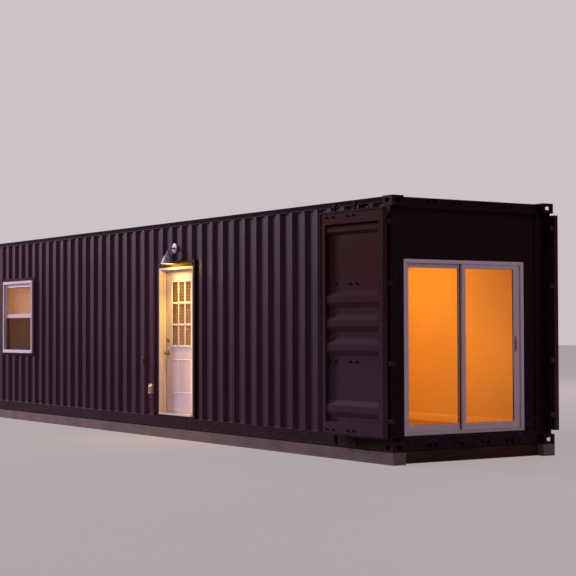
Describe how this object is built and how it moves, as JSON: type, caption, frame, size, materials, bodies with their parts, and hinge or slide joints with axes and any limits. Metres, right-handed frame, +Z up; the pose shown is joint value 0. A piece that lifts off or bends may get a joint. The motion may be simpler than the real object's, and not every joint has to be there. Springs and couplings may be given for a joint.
{
  "type": "shipping container cabin",
  "caption": "Dark high cube container turned into a cabin, with glazed sliding doors in its open end, a white entry door, a barn lamp and a window.",
  "frame": {"origin": "middle of the footprint, on the ground under the strip footings", "axes": "+X towards the cargo door end, -Y towards the side with the entry door, +Z up"},
  "size_m": [12.192, 2.8081, 3.036],
  "materials": {
    "wall_paint": "satin",
    "frame_paint": "satin",
    "leaf_paint": "satin",
    "plywood": "matte",
    "lining_board": "matte",
    "white_vinyl": "satin",
    "white_paint": "satin",
    "pane": "gloss",
    "mill_aluminium": "satin",
    "insect_screen": "matte",
    "blind_fabric": "matte",
    "lamp_zinc": "satin",
    "bulb": "gloss",
    "white_plastic": "satin",
    "concrete": "matte",
    "skirt_board": "matte",
    "brass": "satin",
    "rubber": "matte"
  },
  "bodies": {
    "root": {"top_corner_castings": "frame_paint", "bottom_corner_castings": "frame_paint", "door_end_posts": "frame_paint", "far_end_posts": "wall_paint", "door_header": "frame_paint", "door_sill": "frame_paint", "far_end_rails": "wall_paint", "top_side_rails": "wall_paint", "bottom_side_rails": "frame_paint", "floor_crossmembers": "frame_paint", "floor_deck": "plywood", "entry_wall_far": "wall_paint", "entry_wall_over_door": "wall_paint", "entry_wall_near": "wall_paint", "plain_side_wall": "wall_paint", "far_end_wall": "wall_paint", "roof_sheet": "wall_paint", "side_linings": "lining_board", "end_linings": "lining_board", "ceiling_lining": "lining_board", "infill_sides": "frame_paint", "infill_over_door": "frame_paint", "opening_surrounds": "frame_paint", "patio_frame": "white_vinyl", "patio_fixed_panel": "white_vinyl", "patio_fixed_glass": "pane", "entry_frame": "white_paint", "entry_threshold": "mill_aluminium", "window_frame": "white_vinyl", "window_sashes": "white_vinyl", "window_glass": "pane", "window_screen": "insect_screen", "window_blind": "blind_fabric", "lamp_bracket": "lamp_zinc", "lamp_shade": "lamp_zinc", "lamp_bulb": "bulb", "outlet_box": "white_plastic", "footings": "concrete", "end_skirts": "skirt_board"},
    "entry_door": {"entry_door": "white_paint", "entry_lite_frames": "white_vinyl", "entry_glass": "pane", "entry_blind": "blind_fabric", "entry_handles": "brass"},
    "patio_panel": {"patio_sliding_panel": "white_vinyl", "patio_sliding_glass": "pane", "patio_handles": "white_plastic"},
    "left_leaf": {"left_cargo_leaf": "leaf_paint", "left_leaf_gasket": "rubber", "left_lock_rods": "frame_paint"},
    "right_leaf": {"right_cargo_leaf": "leaf_paint", "right_leaf_gasket": "rubber", "right_lock_rods": "frame_paint"}
  },
  "joints": [
    {"name": "entry_door_hinge", "type": "hinge", "parent": "root", "child": "entry_door", "pos_m": [1.5525, -1.065, 0], "axis": [0, 0, -1], "range_deg": [0, 100]},
    {"name": "patio_panel_slide", "type": "slide", "parent": "root", "child": "patio_panel", "axis": [0, -1, 0], "range_m": [0, 0.74]},
    {"name": "left_leaf_hinge", "type": "hinge", "parent": "root", "child": "left_leaf", "pos_m": [6.071, -1.199, 0], "axis": [0, 0, 1], "range_deg": [0, 267]},
    {"name": "right_leaf_hinge", "type": "hinge", "parent": "root", "child": "right_leaf", "pos_m": [6.071, 1.199, 0], "axis": [0, 0, -1], "range_deg": [0, 267]}
  ]
}
